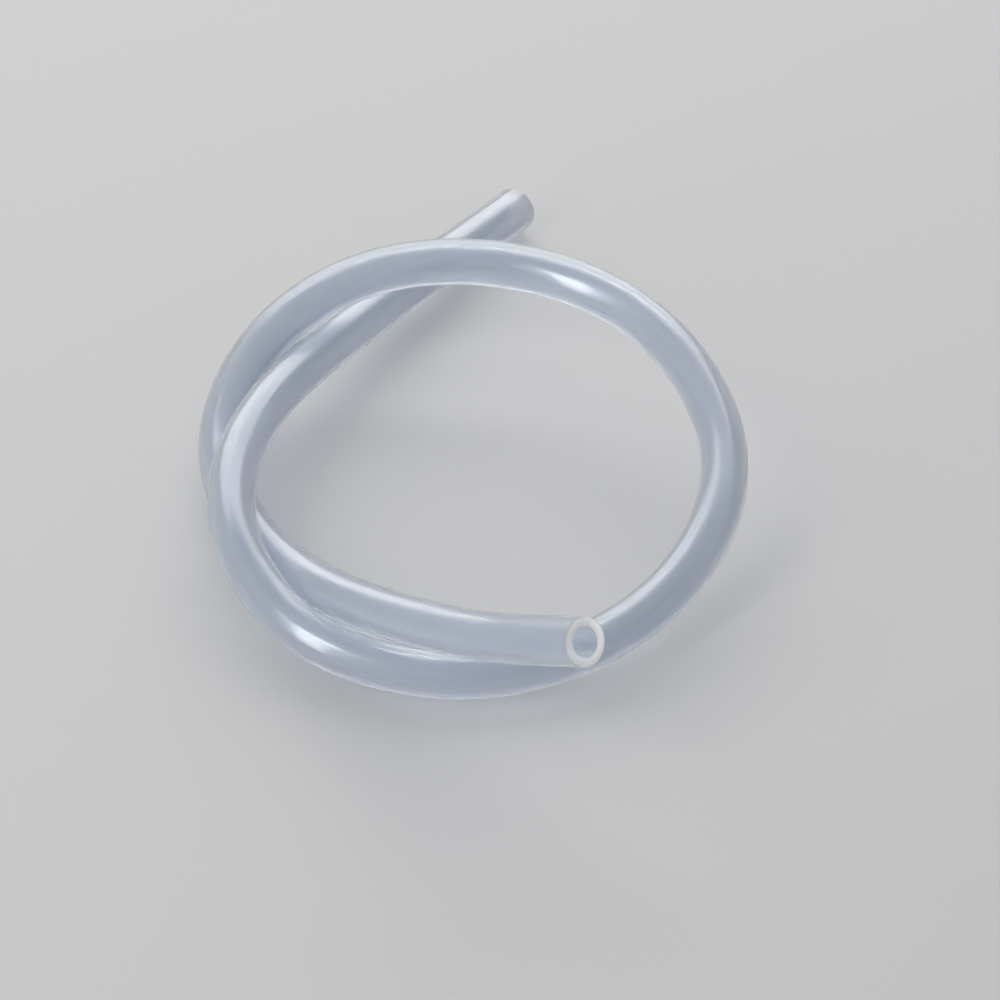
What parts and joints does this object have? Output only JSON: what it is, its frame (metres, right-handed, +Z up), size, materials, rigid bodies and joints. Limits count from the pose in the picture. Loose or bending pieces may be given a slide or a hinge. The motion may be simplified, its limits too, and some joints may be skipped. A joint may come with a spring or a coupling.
{
  "type": "silicone tubing coil",
  "caption": "Translucent silicone tube lying in a loose coil with a straight tail, both ends cut square and open, to push onto barbed fittings.",
  "frame": {"origin": "on the surface the coil lies on, under the middle of its bounding box", "axes": "+Z up, +Y along the coil's length towards the end that lies on the surface, the raised end towards -Y"},
  "size_m": [0.0926, 0.1632, 0.0389],
  "materials": {
    "silicone": "smooth translucent silicone"
  },
  "bodies": {
    "root": {"tube": "silicone"}
  },
  "joints": []
}
